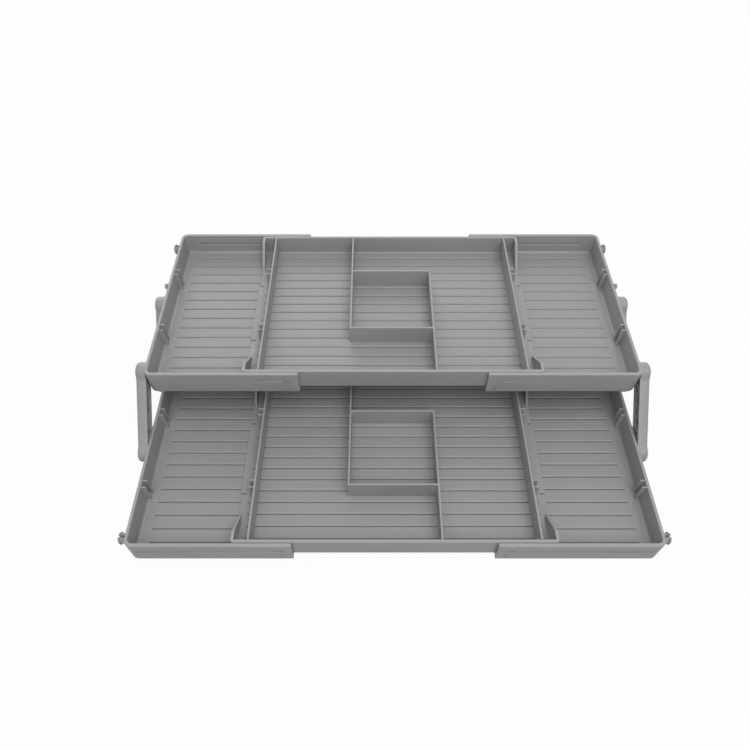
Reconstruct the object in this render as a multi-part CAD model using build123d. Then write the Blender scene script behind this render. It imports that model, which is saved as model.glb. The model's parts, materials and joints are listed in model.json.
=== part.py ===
from build123d import *
import os
from math import asin, atan2, cos, degrees, hypot, radians, sin

# Two-tier cantilever organiser of extending open trays, moulded in grey plastic.
# Each tier is a centre tray with an end tray wrapped round each of its ends, so the
# tier grows and shrinks in width. Four arms carry the upper tier up and back over
# the lower one. X runs along the trays, Y from front to back, Z is up. The origin
# is on the table, under the middle of the open organiser. Sizes are millimetres.

# End trays
rim_width = 400.0           # outer rim to outer rim of a tier, as photographed
end_depth = 174.2           # outer front face to outer rear face
end_height = 22.0           # underside of the floor to the rim
end_wall = 2.4              # side walls
flange_wall = 3.0           # front and rear walls
end_floor = 2.0
side_lean = 0.8             # how far a side wall leans in, from the rim to the underside
end_corner = 6.0            # outer corner radius, in plan
end_base_edge = 1.2         # rounding of the outer bottom edges
end_inner_edge = 2.2        # rounding between floor and walls, inside
flange_end = 76.3           # where an end tray stops under the centre tray, from mid width
foot_side = 6.0
foot_height = 2.2
foot_inset = 0.2            # from the front or rear edge of the flat base to a foot
foot_shift = 4.8            # from the side edge of the flat base to a foot

# Centre trays
tray_gap = 0.4              # between the centre tray and the end trays' walls
floor_gap = 0.3             # between the centre tray and the end trays' floors
centre_half = 121.6         # half the length of a centre tray
centre_wall = 2.6
centre_floor = 1.7
centre_corner = 2.5
centre_base_edge = 2.2
centre_inner_edge = 1.5
gusset_thick = 2.4          # corner returns that stiffen the open ends
gusset_top = 9.5            # length of a return at the rim
gusset_foot = 31.6          # length of a return at the floor
tongue_reach = 0.9          # how far the middle of the floor stands out at each end
tongue_half = 34.4
slit_wide = 1.0
slit_long = 3.6

# Guide lugs of the centre tray, in grooves inside the end trays' walls
lug_inset = 3.0             # from the end of the centre tray
lug_radius = 1.0
lug_reach = 0.9             # out of the centre tray's wall
guide_height = 12.3         # lug centre over the underside of the end tray
guide_play = 0.3            # over, under and beyond a lug
guide_depth = 0.8
ledge_height = 13.0         # top of the thicker lower part of the outer face
ledge_proud = 0.4
ledge_margin = 6.5          # from the rim's outer face to the end of the ledge
ledge_base = 1.6
window_long = 5.6           # slot where a lug clicks in at full width
window_high = 1.0
detent_radius = 0.7         # pip hole where a lug clicks in
detent_travel = 2.8         # slide in from the photographed width to that click
travel_in = 65.0
travel_out = 32.0

# Floor grooves
groove_wide = 3.8           # over both rounded lips
groove_deep = 0.8
groove_lift = 0.03          # top of the lips' rounding, over the floor that it runs out into
end_groove_count = 14
end_groove_pitch = 11.5
end_groove_margin = 9.7     # from the rim's outer face to a groove
end_groove_start = 3.7      # from the open end of an end tray to a groove
centre_groove_count = 15
centre_groove_pitch = 10.35
centre_groove_past = 7.9    # past the middle of a long divider

# Channels for cross dividers
channel_place = 34.5        # from mid depth
channel_wide = 6.0          # between the middles of its two ribs
rib_thick = 1.2
channel_reach = 6.3         # ribs on the side walls, in from the rim's outer face
channel_drop = 0.6          # top of those ribs, under the rim
tab_reach = 4.1             # ribs on the long dividers

# Dividers and square insert
panel_thick = 1.6
panel_play = 0.15           # at each end of a panel
divider_inset = 12.8        # from the end of the centre tray to the middle of a long divider
square_pitch = 70.6         # between the middles of opposite walls of the square
panel_chamfer = 1.7         # clears the rounding inside the tray

# Snap pegs and arms
peg_pitch = 76.0
peg_height = 12.3           # over the underside of the end tray
peg_radius = 4.0
peg_play = 0.05
barb_radius = 5.0
barb_long = 1.8
barb_play = 0.2
peg_slot = 1.8
collar_radius = 6.2
arm_gap = 0.3               # between an arm and the rim, and between an arm and its stop
arm_thick = 8.5
arm_length = 66.5           # pivot to pivot
arm_lean = 43.2             # degrees over horizontal when open
boss_radius = 8.0
arm_wide = 12.0
neck_radius = 6.0
arm_round = 2.4
arm_skin = 2.0
arm_flank = 1.8
socket_wall = 2.7           # round the bore, inside the arm
arm_rib = 1.2
arm_cells = 3
counterbore_radius = 5.4
counterbore_deep = 3.6
stop_radius = 2.4           # open-stop bump on each side wall
stop_along = 17.6           # from the peg, along the open arm
stop_reach = 4.0            # out of the rim
stop_round = 0.8
stack_gap = 0.35            # between the closed tiers

# Worked out from the above
half_width = rim_width / 2
half_depth = end_depth / 2
set_back = peg_pitch + arm_length * cos(radians(arm_lean))
rise = arm_length * sin(radians(arm_lean))
closed_angle = 180 - degrees(asin((end_height + stack_gap) / arm_length))
centre_base = end_floor + floor_gap
centre_depth_half = half_depth - flange_wall - tray_gap
floor_top = centre_base + centre_floor
inner_half = centre_depth_half - centre_wall
lug_place = centre_half - lug_inset
window_place = lug_place - travel_out
detent_place = lug_place + detent_travel
divider_place = centre_half - divider_inset
end_groove_inner = flange_end + end_groove_start
end_groove_outer = half_width - end_groove_margin
ledge_outer = half_width - ledge_margin
channel_face = half_width - channel_reach
arm_inner = half_width + arm_gap
peg_tip = arm_inner + arm_thick - counterbore_deep + barb_play + barb_long


def side_x(z):
    """Outer face of an end tray's side wall at height z."""
    return half_width - side_lean * (end_height - z) / end_height


def trough(x_open, wall, depth_half, z_low, z_high, corner, edge):
    """Closed block inside the outer faces of an end tray by wall, rounded but on top."""
    outline = Polyline(
        (x_open, z_low), (side_x(z_low) - wall, z_low),
        (side_x(z_high) - wall, z_high), (x_open, z_high), close=True)
    block = extrude(Plane.XZ * make_face(outline), amount=depth_half, both=True)
    tall = block.edges().filter_by(lambda e: abs(e.tangent_at(0.5).Z) > 0.5)
    block = fillet(tall.sort_by(Axis.X)[-2:], corner)
    base = block.edges().filter_by(lambda e: e.bounding_box().max.Z < z_low + 1e-4)
    return fillet(base.filter_by(lambda e: e.center().X > x_open + 1e-3), edge)


def groove(long):
    """Cutter for one groove along X: a valley with rounded lips and round ends, floor at height 0."""
    half = groove_wide / 2
    high = groove_lift + groove_deep
    lip = (half ** 2 + high ** 2) / (2 * high)
    turn = asin(half / lip) / 2
    bottom = (0, -groove_deep)
    across = half - lip * sin(turn)
    down = groove_lift - lip * (1 - cos(turn))
    right = ThreePointArc(bottom, (across, down), (half, groove_lift))
    left = ThreePointArc((-half, groove_lift), (-across, down), bottom)
    lid = Polyline((half, groove_lift), (half, high), (-half, high), (-half, groove_lift))
    valley = Plane.YZ * make_face(left.edges() + right.edges() + lid.edges())
    cutter = extrude(valley, amount=long / 2 - half, both=True)
    middle = Polyline((half, groove_lift), (half, high), (0, high), bottom)
    end = revolve(Plane.XZ * make_face(right.edges() + middle.edges()), axis=Axis.Z)
    for x in (half - long / 2, long / 2 - half):
        cutter += Pos(x, 0, 0) * end
    return cutter


def grooves(x_low, x_high, top, count, pitch):
    """Row of grooves in a floor, side by side along Y."""
    cutter = Pos((x_low + x_high) / 2, 0, top) * groove(x_high - x_low)
    return [place * cutter for place in GridLocations(0, pitch, 1, count)]


def peg():
    """Split snap peg along +X, its axis on the X axis, at its true distance out."""
    root = side_x(peg_height) - end_wall / 2
    barb_start = peg_tip - barb_long
    side = Polyline(
        (root, 0), (root, collar_radius), (half_width, collar_radius),
        (half_width, peg_radius), (barb_start, peg_radius), (barb_start, barb_radius),
        (peg_tip, peg_radius), (peg_tip, 0), close=True)
    body = revolve(Plane.XY * make_face(side), axis=Axis.X)
    slot_long = peg_tip - half_width
    slot = Pos(half_width + slot_long, 0, 0) * Box(2 * slot_long, peg_slot, 4 * peg_radius)
    return body - slot


def stop_bump():
    """Round bump that an open arm leans on, its axis on the X axis."""
    root = side_x(peg_height) - end_wall / 2
    long = half_width + stop_reach - root
    bump = extrude(Plane.YZ.offset(root) * Circle(stop_radius), amount=long)
    return fillet(bump.edges().sort_by(Axis.X)[-1], stop_round)


def guide_cuts(side):
    """Lug groove, click slot and pip hole in the wall on the given side of mid depth."""
    inner_face = half_depth - flange_wall
    low = window_place - window_long / 2
    high = lug_place + travel_in + lug_radius + guide_play
    deep = guide_depth + flange_wall
    channel = Box(high - low, 2 * guide_depth, 2 * (lug_radius + guide_play))
    cuts = Pos((low + high) / 2, side * inner_face, guide_height) * channel
    window = Box(window_long, 2 * deep, window_high)
    cuts += Pos(window_place, side * half_depth, ledge_height + window_high / 2) * window
    pip = extrude(Plane.XZ * Circle(detent_radius), amount=deep, both=True)
    return cuts + Pos(detent_place, side * half_depth, guide_height) * pip


def end_tray():
    """Right-hand end tray, on the tier's own middle, its underside at height 0."""
    tray = trough(flange_end, 0, half_depth, 0, end_height, end_corner, end_base_edge)
    for side in (-1, 1):
        ledge = Polyline(
            (side * (half_depth - flange_wall / 2), ledge_base),
            (side * half_depth, ledge_base),
            (side * (half_depth + ledge_proud), ledge_base + ledge_proud),
            (side * (half_depth + ledge_proud), ledge_height),
            (side * (half_depth - flange_wall / 2), ledge_height), close=True)
        start = window_place - window_long / 2
        bar = extrude(Plane.YZ.offset(start) * make_face(ledge), amount=ledge_outer - start)
        tray += bar
    hollow_top = end_height + end_wall
    tray -= trough(flange_end - end_wall, end_wall, half_depth - flange_wall, end_floor,
                   hollow_top, end_corner - end_wall, end_inner_edge)
    tray -= grooves(end_groove_inner, end_groove_outer, end_floor,
                    end_groove_count, end_groove_pitch)
    rib_top = end_height - channel_drop
    rib = make_face(Polyline(
        (channel_face, end_floor), (side_x(end_floor) - end_wall / 2, end_floor),
        (side_x(rib_top) - end_wall / 2, rib_top), (channel_face, rib_top), close=True))
    plate = extrude(Plane.XZ * rib, amount=rib_thick / 2, both=True)
    for middle in (-channel_place, channel_place):
        for edge in (-channel_wide / 2, channel_wide / 2):
            tray += Pos(0, middle + edge, 0) * plate
    for y in (-peg_pitch, 0, peg_pitch):
        tray += Pos(0, y, peg_height) * peg()
    lean = radians(arm_lean)
    off = arm_wide / 2 + stop_radius + arm_gap
    stop_y = stop_along * cos(lean) + off * sin(lean)
    stop_z = stop_along * sin(lean) - off * cos(lean)
    tray += Pos(0, stop_y, peg_height + stop_z) * stop_bump()
    for side in (-1, 1):
        tray -= guide_cuts(side)
    foot_y = half_depth - end_base_edge - foot_inset - foot_side / 2
    foot_x = side_x(0) - end_base_edge - foot_shift - foot_side / 2
    for y in (-foot_y, foot_y):
        pad = Box(foot_side, foot_side, foot_height + end_floor / 2)
        tray += Pos(foot_x, y, (end_floor / 2 - foot_height) / 2) * pad
    return tray


def centre_section():
    """Section of a centre tray across its length: a wide U with rounded corners."""
    outer = Rectangle(2 * centre_depth_half, end_height - centre_base,
                      align=(Align.CENTER, Align.MIN))
    outer = fillet(outer.vertices().group_by(Axis.Y)[0], centre_base_edge)
    inner = Rectangle(2 * inner_half, end_height, align=(Align.CENTER, Align.MIN))
    inner = fillet(inner.vertices().group_by(Axis.Y)[0], centre_inner_edge)
    return Pos(0, centre_base) * outer - Pos(0, floor_top) * inner


def centre_plan():
    """Plan of a centre tray: rounded corners, and a tongue at each end."""
    plan = RectangleRounded(2 * centre_half, 2 * centre_depth_half, centre_corner)
    reach = centre_half + tongue_reach
    return plan + Rectangle(2 * reach, 2 * tongue_half)


def centre_tray():
    """Centre tray on the tier's own middle, over the end trays' floors."""
    reach = centre_half + tongue_reach
    tray = extrude(Plane.YZ * centre_section(), amount=reach, both=True)
    for end in (-1, 1):
        for side in (-1, 1):
            face = side * centre_depth_half
            gusset = Polyline(
                (face - side * centre_wall / 2, floor_top - centre_floor / 2),
                (face - side * gusset_foot, floor_top - centre_floor / 2),
                (face - side * gusset_foot, floor_top),
                (face - side * gusset_top, end_height),
                (face - side * centre_wall / 2, end_height), close=True)
            plate = Plane.YZ.offset(end * (centre_half - gusset_thick / 2)) * make_face(gusset)
            tray += extrude(plate, amount=gusset_thick / 2, both=True)
    tray &= extrude(centre_plan(), amount=end_height)
    slot_half = divider_place + centre_groove_past
    tray -= grooves(-slot_half, slot_half, floor_top, centre_groove_count, centre_groove_pitch)
    for end in (-1, 1):
        for side in (-1, 1):
            tip = end * (centre_half + tongue_reach)
            slit = Box(2 * (slit_long + tongue_reach), slit_wide, 4 * centre_floor)
            tray -= Pos(tip, side * (tongue_half - slit_wide / 2), centre_base) * slit
            lug = extrude(Plane.XZ * Circle(lug_radius), amount=lug_reach + centre_wall / 2)
            lug = fillet(lug.edges().sort_by(Axis.Y)[0], lug_radius / 2)
            lug = lug if side < 0 else mirror(lug, Plane.XZ)
            root = side * (centre_depth_half - centre_wall / 2)
            tray += Pos(end * lug_place, root, guide_height) * lug
    return tray


def panel(y_low, y_high):
    """Flat wall along Y on the tray floor; a bottom corner next to a tray wall is cut off."""
    middle = ((y_low + y_high) / 2, floor_top)
    side = Pos(*middle) * Rectangle(y_high - y_low, end_height - floor_top,
                                    align=(Align.CENTER, Align.MIN))
    corners = side.vertices().group_by(Axis.Y)[0]
    near_wall = corners.filter_by(lambda v: abs(v.X) > inner_half - 2 * panel_play)
    side = chamfer(near_wall, panel_chamfer)
    return extrude(Plane.YZ * side, amount=panel_thick / 2, both=True)


def long_divider():
    """Right-hand long divider, with two channels on its outer face."""
    reach = inner_half - panel_play
    divider = panel(-reach, reach)
    for middle in (-channel_place, channel_place):
        for edge in (-channel_wide / 2, channel_wide / 2):
            tab = Box(tab_reach + panel_thick / 2, rib_thick, end_height - floor_top,
                      align=(Align.MIN, Align.CENTER, Align.MIN))
            divider += Pos(0, middle + edge, floor_top) * tab
    return Pos(divider_place, 0, 0) * divider


def square_insert():
    """Square compartment whose side walls run on, one to the front and one to the rear."""
    half = square_pitch / 2
    run = Pos(half, 0, 0) * panel(panel_play - inner_half, half + panel_thick / 2)
    cross = Pos(0, half, floor_top) * Box(
        square_pitch, panel_thick, end_height - floor_top,
        align=(Align.CENTER, Align.CENTER, Align.MIN))
    corner = run + cross
    return corner + Rot(0, 0, 180) * corner


def arm():
    """Link arm along +X from its lower pivot, lying flat, its outer face upwards."""
    outline = Pos(arm_length / 2, 0) * Rectangle(arm_length, arm_wide)
    pocket = Pos(arm_length / 2, 0) * Rectangle(arm_length, arm_wide - 2 * arm_flank)
    bore = peg_radius + peg_play
    for x in (0, arm_length):
        outline += Pos(x, 0) * Circle(boss_radius)
        pocket -= Pos(x, 0) * Circle(bore + socket_wall)
    body = extrude(fillet(outline.vertices(), neck_radius), amount=arm_thick)
    rim = body.edges().filter_by(lambda e: e.bounding_box().min.Z > arm_thick - 1e-4)
    body = fillet(rim, arm_round)
    hollow = extrude(pocket, amount=arm_thick - arm_skin)
    start = bore + socket_wall
    step = (arm_length - 2 * start) / (2 * arm_cells)
    high = arm_wide - 2 * arm_flank
    for i in range(2 * arm_cells):
        turn = degrees(atan2(high, step)) * (1 if i % 2 == 0 else -1)
        rib = Rot(0, 0, turn) * Box(hypot(step, high), arm_rib, 4 * arm_thick)
        hollow -= Pos(start + (i + 0.5) * step, 0, 0) * rib
    body -= hollow
    for x in (0, arm_length):
        body -= Pos(x, 0, arm_thick / 2) * Cylinder(bore, 2 * arm_thick)
        body -= Pos(x, 0, arm_thick) * Cylinder(counterbore_radius, 2 * counterbore_deep)
    return body


def save(name, shape):
    export_step(shape, f"parts/{name}.step")


os.makedirs("parts", exist_ok=True)
shapes = {
    "end_tray": end_tray(), "centre_tray": centre_tray(),
    "divider": long_divider(), "insert": square_insert(), "arm": arm()}
tiers = {
    "lower": Pos(0, -set_back / 2, foot_height),
    "upper": Pos(0, set_back / 2, foot_height + rise)}
for tier, place in tiers.items():
    save(f"{tier}_centre_tray", place * shapes["centre_tray"])
    save(f"{tier}_square_insert", place * shapes["insert"])
    save(f"{tier}_right_end_tray", place * shapes["end_tray"])
    save(f"{tier}_left_end_tray", place * mirror(shapes["end_tray"], Plane.YZ))
    save(f"{tier}_right_divider", place * shapes["divider"])
    save(f"{tier}_left_divider", place * Rot(0, 0, 180) * shapes["divider"])

lean_dir = (0, cos(radians(arm_lean)), sin(radians(arm_lean)))
for side_name, side in (("left", -1), ("right", 1)):
    for name, tray_y in (("front", 0), ("rear", peg_pitch)):
        pivot = (side * arm_inner, tray_y - set_back / 2, foot_height + peg_height)
        hold = Plane(origin=pivot, x_dir=lean_dir, z_dir=(side, 0, 0))
        save(f"{side_name}_{name}_arm", hold * shapes["arm"])

print(f"Each end tray slides {travel_in} mm in and {travel_out:.1f} mm out.")
print(f"The arms swing {closed_angle - arm_lean:.2f} degrees from open to closed.")
print(f"The upper tier is {set_back:.3f} mm behind the lower one and {rise:.3f} mm above it.")
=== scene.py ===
import json
import math
import bmesh
import bpy
from mathutils.bvhtree import BVHTree
from mathutils.kdtree import KDTree
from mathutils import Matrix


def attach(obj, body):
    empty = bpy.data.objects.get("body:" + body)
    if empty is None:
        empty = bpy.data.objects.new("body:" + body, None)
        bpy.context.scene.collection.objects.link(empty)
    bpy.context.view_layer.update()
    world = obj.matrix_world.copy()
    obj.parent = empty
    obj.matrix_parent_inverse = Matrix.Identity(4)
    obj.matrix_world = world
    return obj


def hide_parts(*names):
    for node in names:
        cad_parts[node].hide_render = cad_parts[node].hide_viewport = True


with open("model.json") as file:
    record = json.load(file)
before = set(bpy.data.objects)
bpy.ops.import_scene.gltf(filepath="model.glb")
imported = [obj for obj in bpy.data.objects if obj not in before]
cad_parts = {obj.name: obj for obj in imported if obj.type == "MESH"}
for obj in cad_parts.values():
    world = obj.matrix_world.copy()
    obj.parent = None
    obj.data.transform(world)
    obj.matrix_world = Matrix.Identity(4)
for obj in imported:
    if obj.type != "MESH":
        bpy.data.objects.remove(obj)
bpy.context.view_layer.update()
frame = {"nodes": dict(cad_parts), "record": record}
scene = bpy.context.scene
print("frame loaded:", len(frame["nodes"]), "nodes")


class Wire:                              # a node's output, with sums and products
    def __init__(self, tree, socket=None):
        self.tree = tree
        self.socket = socket

    def node(self, kind, settings, values, output=0):
        made = self.tree.nodes.new(kind)
        for name, value in settings.items():
            setattr(made, name, value)
        for name, value in values.items():
            if isinstance(value, Wire):
                self.tree.links.new(value.socket, made.inputs[name])
            else:
                made.inputs[name].default_value = value
        return Wire(self.tree, made.outputs[output])

    def maths(self, operation, first, second):
        return self.node("ShaderNodeMath", {"operation": operation}, {0: first, 1: second})

    def __add__(self, other):
        return self.maths("ADD", self, other)

    def __sub__(self, other):
        return self.maths("SUBTRACT", self, other)

    def __rsub__(self, other):
        return self.maths("SUBTRACT", other, self)

    def __mul__(self, other):
        return self.maths("MULTIPLY", self, other)

    __radd__ = __add__
    __rmul__ = __mul__

    def mix(self, first, second):        # this wire picks between two colours
        return self.node("ShaderNodeMix", {"data_type": "RGBA"}, {0: self, 6: first, 7: second}, 2)


# one grey moulded plastic all over; trays, loose dividers and arms differ a little in tone and gloss
trayLook = {
    "dark": (0.288, 0.287, 0.288),
    "light": (0.333, 0.332, 0.333),
    "edge": (0.348, 0.347, 0.349),       # where an edge has been rubbed
    "painted_shade": (0.060, 0.059, 0.060),     # painted shade, down in the floor grooves
    "flow": (9.0, 4.0, 0.55),            # streaks of the melt: scale per metre, detail, roughness
    "patch": (90.0, 5.0, 0.6),           # uneven gloss, and where the edges are rubbed most
    "grain": (1500.0, 2.0, 0.5),         # spark-eroded mould texture
    "toneShares": (0.6, 0.3, 0.1),       # flow, patch and grain between dark and light
    "wearLeast": 0.4,
    "wearSpread": 0.6,
    "wearRoughness": 0.04,
    "roughness": 0.44,
    "roughnessSpread": 0.10,
    "grainStrength": 0.6,
    "grainDepth": 0.00003,
    "specular": 0.42,
    "ior": 1.5,
}
dividerLook = {**trayLook, "roughness": 0.48, "grainDepth": 0.00002, "flow": (14.0, 4.0, 0.55)}
armLook = {**trayLook, "roughness": 0.40, "light": (0.338, 0.337, 0.339), "flow": (20.0, 4.0, 0.55)}


def noise(place, scale, detail, roughness):
    return place.node("ShaderNodeTexNoise", {}, {
        "Vector": place, "Scale": scale, "Detail": detail, "Roughness": roughness})


def mouldedPlastic(name, look):
    material = bpy.data.materials.new(name)
    material.use_nodes = True
    tree = material.node_tree
    tree.nodes.clear()
    start = Wire(tree)
    place = start.node("ShaderNodeTexCoord", {}, {}, "Object")
    flow, patch, grain = (noise(place, *look[key]) for key in ("flow", "patch", "grain"))
    worn = start.node("ShaderNodeAttribute", {"attribute_name": "easedEdge"}, {}, "Fac")
    # mask of painted shade along the bottoms of narrow valleys such as the floor grooves
    painted_shade_mask = start.node("ShaderNodeAttribute", {"attribute_name": "painted_shade"}, {}, "Fac")
    dark, light, edge, painted_shade = (look[key] + (1,) for key in ("dark", "light", "edge", "painted_shade"))
    flowShare, patchShare, grainShare = look["toneShares"]
    body = (flow * flowShare + patch * patchShare + grain * grainShare).mix(dark, light)
    rubbed = (worn * (look["wearLeast"] + patch * look["wearSpread"])).mix(body, edge)
    # painted shade: the colour darkens towards near black in the grooves
    colour = painted_shade_mask.mix(rubbed, painted_shade)
    uneven = (patch - 0.5) * look["roughnessSpread"]
    rough = look["roughness"] + uneven + worn * look["wearRoughness"]
    bump = start.node("ShaderNodeBump", {}, {
        "Height": grain, "Strength": look["grainStrength"], "Distance": look["grainDepth"]}, "Normal")
    shader = start.node("ShaderNodeBsdfPrincipled", {}, {
        "Base Color": colour, "Roughness": rough, "Normal": bump,
        "Specular IOR Level": look["specular"], "IOR": look["ior"]})
    output = tree.nodes.new("ShaderNodeOutputMaterial")
    tree.links.new(shader.socket, output.inputs["Surface"])
    return material


# where painted shade goes: narrow valleys that open upwards, such as the floor grooves
grooveShade = {
    "angle": 60.0,                       # degrees over which a narrow valley counts as a crease and gets painted shade
    "up": 0.95,                          # and how straight up it has to open
    "reach": 0.0014,                     # its sides are no wider than this
    "side": 0.6,                         # share of the painted shade half way up
}


def isNarrow(face):
    longest = max(edge.calc_length() for edge in face.edges)
    return 2 * face.calc_area() < grooveShade["reach"] * longest


def isValley(edge):                      # the bottom of a groove that opens upwards
    if len(edge.link_faces) != 2 or edge.is_convex:
        return False
    steep = edge.calc_face_angle() > math.radians(grooveShade["angle"])
    opens = (edge.link_faces[0].normal + edge.link_faces[1].normal).normalized()
    return steep and opens.z > grooveShade["up"]


def markPaintedShade(work, painted_shade):           # painted shade: 1 along the bottom of narrow valleys, less up their sides
    inside = [vert for vert in work.verts if all(isNarrow(face) for face in vert.link_faces)]
    for vert in inside:
        if any(isValley(edge) for edge in vert.link_edges):
            vert[painted_shade] = 1.0
    for vert in inside:
        beside = [edge.other_vert(vert)[painted_shade] for edge in vert.link_edges]
        if vert[painted_shade] == 0 and max(beside) == 1.0:
            vert[painted_shade] = grooveShade["side"]


easing = {
    "weld": 0.000002,
    "sharp": 34.0,                       # degrees over which an edge is eased
    "smooth": 30.0,                      # degrees under which neighbouring faces shade as one
    "widths": (0.00035, 0.00012),        # the wide ones first, then where there is less room
    "segments": 2,
    "room": 2.1,                         # face that an eased edge needs on both sides, in widths
    "drop": 0.12,                        # share of that room by which the face may fall away
    "alike": 0.9,                        # and how closely it has to face the same way
    "probes": (0.05, 0.5, 0.95),         # where along the edge that is tried
    "clear": 2.5,                        # widths left sharp round a spot that folded
    "nowhere": (9, 9, 9),                # keeps the list of those spots from being empty
    "foldArea": 1e-11,                   # smaller folds don't show
    "foldTurn": -0.1,                    # a face turned this far round has folded
    "tries": 6,
    "sliver": 0.0000005,                 # faces thinner than this are closed up
    "flatWeight": 95,                    # how far the large faces settle the shading
}


def hasRoom(edge, tree, reach):          # flat face on both sides, all along the edge
    near, far = (vert.co for vert in edge.verts)
    for loop in edge.link_loops:
        way = (loop.link_loop_next.vert.co - loop.vert.co).normalized()
        inward = loop.face.normal.cross(way)
        for share in easing["probes"]:
            spot, normal, index, gap = tree.find_nearest(near.lerp(far, share) + inward * reach)
            if gap > reach * easing["drop"] or normal.dot(loop.face.normal) < easing["alike"]:
                return False
    return True


def isSharp(edge):
    if len(edge.link_faces) != 2 or not edge.is_convex:
        return False
    return edge.calc_face_angle() > math.radians(easing["sharp"])


def easeEdges(work, width, worn, spared):  # returns the corners of faces that folded over
    tree = BVHTree.FromBMesh(work)
    spots = KDTree(len(spared) + 1)
    for index, spot in enumerate([easing["nowhere"]] + spared):
        spots.insert(spot, index)
    spots.balance()
    clear = width * easing["clear"]
    roomy = [edge for edge in work.edges if isSharp(edge)
             and hasRoom(edge, tree, width * easing["room"])
             and all(spots.find(vert.co)[2] > clear for vert in edge.verts)]
    eased = bmesh.ops.bevel(
        work, geom=roomy, offset=width, offset_type="OFFSET", affect="EDGES",
        segments=easing["segments"], profile=0.5, clamp_overlap=False, loop_slide=False, material=-1)
    for vert in eased["verts"]:
        vert[worn] = 1.0
    folded = [face for face in work.faces if face.calc_area() > easing["foldArea"]
              and tree.find_nearest(face.calc_center_median())[1].dot(face.normal) < easing["foldTurn"]]
    return [vert.co.copy() for face in folded for vert in face.verts]


def easedMesh(nodeName):                 # starts again, sparing the folded spots, until none folds
    spared = {width: [] for width in easing["widths"]}
    for attempt in range(easing["tries"]):
        work = bmesh.new()
        work.from_mesh(frame["nodes"][nodeName].data)
        bmesh.ops.remove_doubles(work, verts=work.verts, dist=easing["weld"])
        # how much painted shade each corner gets
        painted_shade = work.verts.layers.float.new("painted_shade")
        worn = work.verts.layers.float.new("easedEdge")
        markPaintedShade(work, painted_shade)
        for width in easing["widths"]:
            folded = easeEdges(work, width, worn, spared[width])
            if folded and attempt < easing["tries"] - 1:
                spared[width] += folded
                break
        else:
            break
        work.free()
    bmesh.ops.dissolve_degenerate(work, dist=easing["sliver"], edges=work.edges)
    for face in work.faces:
        face.smooth = True
    mesh = bpy.data.meshes.new(nodeName + "_moulded")
    work.to_mesh(mesh)
    work.free()
    mesh.set_sharp_from_angle(angle=math.radians(easing["smooth"]))
    return mesh


def easedCopy(nodeName, body, material):
    mesh = easedMesh(nodeName)
    mesh.materials.append(material)
    piece = bpy.data.objects.new(nodeName + "_moulded", mesh)
    scene.collection.objects.link(piece)
    flats = piece.modifiers.new("flats", "WEIGHTED_NORMAL")
    flats.mode = "FACE_AREA"
    flats.weight = easing["flatWeight"]
    flats.keep_sharp = True
    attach(piece, body)
    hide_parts(nodeName)
    print("moulded:", piece.name, len(mesh.polygons), "faces")


materials = {
    "tray_plastic": mouldedPlastic("trayPlastic", trayLook),
    "divider_plastic": mouldedPlastic("dividerPlastic", dividerLook),
    "arm_plastic": mouldedPlastic("armPlastic", armLook),
}
bodyOf = {name: body for body, names in frame["record"]["behaviour"]["bodies"].items() for name in names}
for row in frame["record"]["subparts"]:
    nodeName, slotName = row["node"], row["material_slot"]
    easedCopy(nodeName, bodyOf[nodeName], materials[slotName])

# pale floor, white surround that lights all round, and soft lamps above, in front and behind
studio = {
    "floorSize": 12.0,
    "floorTone": 0.30,                   # what the floor sends back to the object
    "floorPale": 0.9,                    # what it shows the camera, shadows and all
    "floorWhite": 0.92,                  # share of plain white over that
    "domeStrength": 0.43,
    "overheadPlace": (0.22, -0.66, 1.42),
    "overheadSize": 1.2,
    "overheadPower": 14.2,
    "fillPlace": (0.0, -1.8, 0.9),
    "fillSize": 1.6,
    "fillPower": 2.0,
    "backPlace": (-0.3, 1.8, 0.8),       # keeps the rear walls from going dark
    "backSize": 1.6,
    "backPower": 17.0,
}


def grey(tone):
    return (tone, tone, tone, 1)


def whiteRays(start):                    # 1 where the camera, gloss or glass looks
    rays = [start.node("ShaderNodeLightPath", {}, {}, name)
            for name in ("Is Camera Ray", "Is Glossy Ray", "Is Transmission Ray")]
    return start.maths("MINIMUM", rays[0] + rays[1] + rays[2], 1.0)


def makeWorld():
    world = bpy.data.worlds.new("surround")
    scene.world = world
    world.use_nodes = True
    tree = world.node_tree
    tree.nodes.clear()
    start = Wire(tree)
    strength = studio["domeStrength"] + whiteRays(start) * (1.0 - studio["domeStrength"])
    back = start.node("ShaderNodeBackground", {}, {"Color": grey(1), "Strength": strength})
    output = tree.nodes.new("ShaderNodeOutputWorld")
    tree.links.new(back.socket, output.inputs["Surface"])


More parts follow.
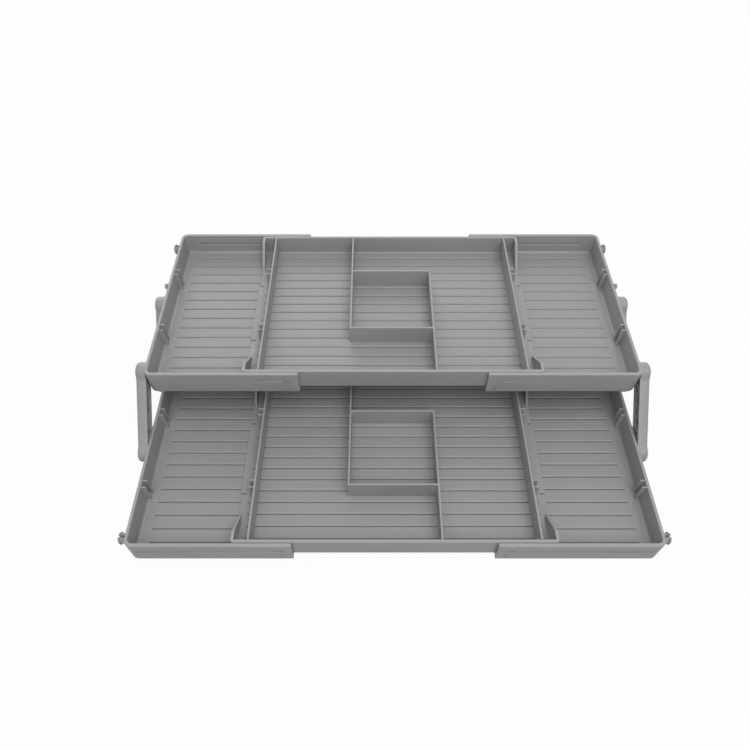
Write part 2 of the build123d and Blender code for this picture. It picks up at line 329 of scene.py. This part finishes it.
def makeFloor():
    work = bmesh.new()
    bmesh.ops.create_grid(work, x_segments=1, y_segments=1, size=studio["floorSize"] / 2)
    mesh = bpy.data.meshes.new("floor")
    work.to_mesh(mesh)
    work.free()
    material = bpy.data.materials.new("floorWhite")
    material.use_nodes = True
    tree = material.node_tree
    tree.nodes.clear()
    start = Wire(tree)
    matt = start.node("ShaderNodeBsdfDiffuse", {}, {"Color": grey(studio["floorTone"])})
    pale = start.node("ShaderNodeBsdfDiffuse", {}, {"Color": grey(studio["floorPale"])})
    glow = start.node("ShaderNodeEmission", {}, {"Color": grey(1), "Strength": 1.0})
    seen = start.node("ShaderNodeMixShader", {}, {0: studio["floorWhite"], 1: pale, 2: glow})
    both = start.node("ShaderNodeMixShader", {}, {0: whiteRays(start), 1: matt, 2: seen})
    output = tree.nodes.new("ShaderNodeOutputMaterial")
    tree.links.new(both.socket, output.inputs["Surface"])
    mesh.materials.append(material)
    floor = bpy.data.objects.new("floor", mesh)
    scene.collection.objects.link(floor)


def makeLamp(name):
    data = bpy.data.lights.new(name, "AREA")
    data.shape = "SQUARE"
    data.size = studio[name + "Size"]
    data.energy = studio[name + "Power"]
    lamp = bpy.data.objects.new(name, data)
    scene.collection.objects.link(lamp)
    lamp.location = studio[name + "Place"]
    aim = -lamp.location
    lamp.rotation_euler = aim.to_track_quat("-Z", "Y").to_euler()


makeWorld()
makeFloor()
for lampName in ("overhead", "fill", "back"):
    makeLamp(lampName)
scene.view_settings.view_transform = "Standard"
print("studio lit")

camera = {
    "place": (-0.0158, -0.3458, 0.4719),
    "tilt": 38.6,                        # degrees up from straight down
    "lens": 31.0,
    "sensor": 36.0,
    "shiftX": 0.002,
}
cameraData = bpy.data.cameras.new("camera")
cameraData.lens = camera["lens"]
cameraData.sensor_width = camera["sensor"]
cameraData.shift_x = camera["shiftX"]
cameraObject = bpy.data.objects.new("camera", cameraData)
scene.collection.objects.link(cameraObject)
cameraObject.location = camera["place"]
cameraObject.rotation_euler = (math.radians(camera["tilt"]), 0, 0)
scene.camera = cameraObject
print("camera placed")
